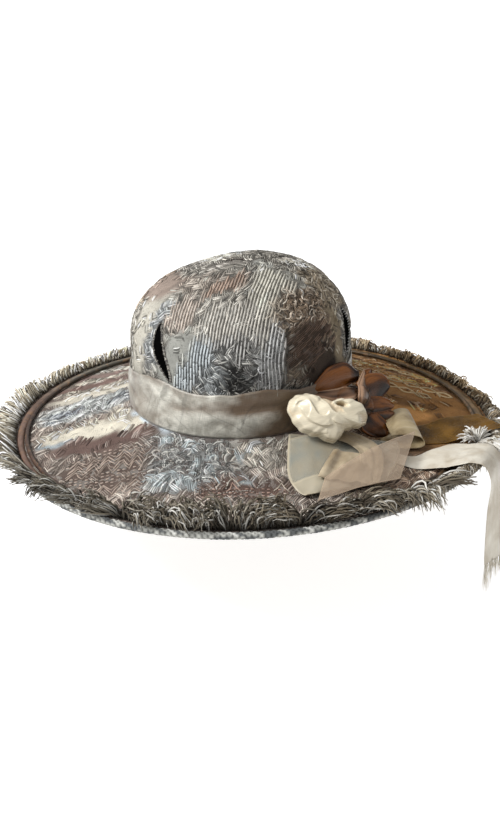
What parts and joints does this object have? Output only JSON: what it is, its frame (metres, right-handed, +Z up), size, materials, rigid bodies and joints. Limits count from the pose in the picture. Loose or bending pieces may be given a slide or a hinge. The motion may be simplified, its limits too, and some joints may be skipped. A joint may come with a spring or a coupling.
{
  "type": "wide-brim hat",
  "caption": "Soft round-crowned hat with a wide fringed brim, a silk band, two satin rosettes and loose ribbons.",
  "frame": {"origin": "middle of the head opening, level with the brim's top where the crown stands on it; the hat sits on a head there", "axes": "+Z up, -Y to the wearer's front, +X to the wearer's left, where the rosettes and ribbons are"},
  "size_m": [0.4472, 0.4431, 0.2307],
  "materials": {
    "crown_brocade": "patchwork of ribbed and raised brocade in grey, taupe and cream",
    "brim_brocade": "patchwork brocade in mauve brown, slate and cream",
    "black_velvet": "black velvet",
    "champagne_silk": "soft silk with a low sheen",
    "brown_satin": "brown satin",
    "braided_edging": "twisted yarn in white, slate and cream",
    "fringe_yarn": "matt wool yarn in olive grey and white",
    "white_yarn": "matt white yarn",
    "cream_satin": "cream satin with a soft sheen",
    "organza": "sheer organza",
    "cream_silk": "cream silk ribbon",
    "tan_organza": "sheer tan ribbon"
  },
  "bodies": {
    "root": {"crown": "crown_brocade", "brim": "brim_brocade", "dart_left": "black_velvet", "dart_right": "black_velvet", "hat_band": "champagne_silk", "brim_piping": "brown_satin", "brim_binding": "brown_satin", "rim_edging": "braided_edging", "fringe": "fringe_yarn", "yarn_tuft": "white_yarn", "cream_rosette": "cream_satin", "brown_rosette": "brown_satin", "ribbon_knot": "champagne_silk", "organza_loop": "organza", "organza_point": "organza", "silk_swath": "champagne_silk", "bow_loop": "champagne_silk", "silk_tail": "cream_silk", "sheer_tail": "tan_organza"}
  },
  "joints": []
}
